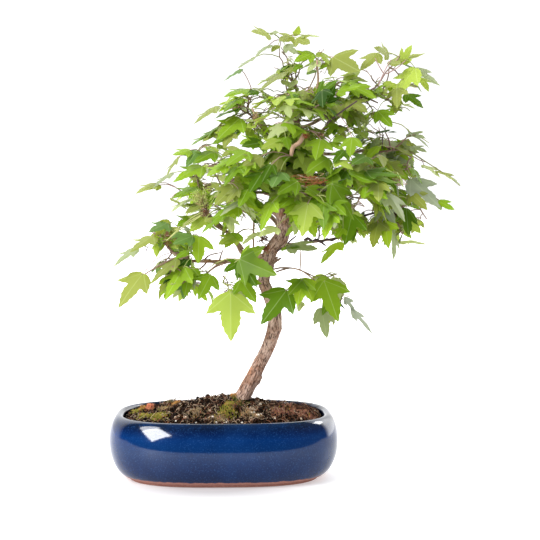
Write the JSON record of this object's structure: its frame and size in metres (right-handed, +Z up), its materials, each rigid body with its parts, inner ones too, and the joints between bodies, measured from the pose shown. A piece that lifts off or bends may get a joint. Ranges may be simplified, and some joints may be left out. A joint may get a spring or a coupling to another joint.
{
  "type": "trident maple bonsai",
  "caption": "Bonsai tree with a leaning tapered trunk, slim boughs and masses of three-lobed leaves, growing in a mound of soil in a shallow glazed oval pot.",
  "frame": {"origin": "middle of the pot's flat underside", "axes": "+Z up, +X to the viewer's right along the pot's long side, -Y towards the tree's front"},
  "size_m": [0.3068, 0.221, 0.3885],
  "materials": {
    "glaze": "gloss",
    "soil": "matte",
    "bark": "matte",
    "foliage": "satin"
  },
  "bodies": {
    "root": {"pot": "glaze", "soil": "soil", "trunk": "bark", "bough_upper_left": "bark", "bough_upper_right": "bark", "bough_upper_middle": "bark", "bough_left_middle": "bark", "bough_left_low": "bark", "bough_left_hanging": "bark", "bough_middle_hanging": "bark", "bough_middle_left": "bark", "bough_middle": "bark", "bough_middle_right": "bark", "bough_right_middle": "bark", "bough_right_low": "bark", "bough_right_hanging": "bark", "bough_front_left": "bark", "bough_front_middle": "bark", "bough_front_right": "bark", "bough_front_upper": "bark", "bough_back_left": "bark", "bough_back_right": "bark", "bough_back_upper": "bark", "bough_back_far_right": "bark", "apex": "foliage", "upper_left": "foliage", "upper_right": "foliage", "upper_middle": "foliage", "left_middle": "foliage", "left_low": "foliage", "left_hanging": "foliage", "middle_hanging": "foliage", "middle_left": "foliage", "middle": "foliage", "middle_right": "foliage", "right_middle": "foliage", "right_low": "foliage", "right_hanging": "foliage", "front_left": "foliage", "front_middle": "foliage", "front_right": "foliage", "front_upper": "foliage", "back_left": "foliage", "back_right": "foliage", "back_upper": "foliage", "back_far_right": "foliage"}
  },
  "joints": []
}
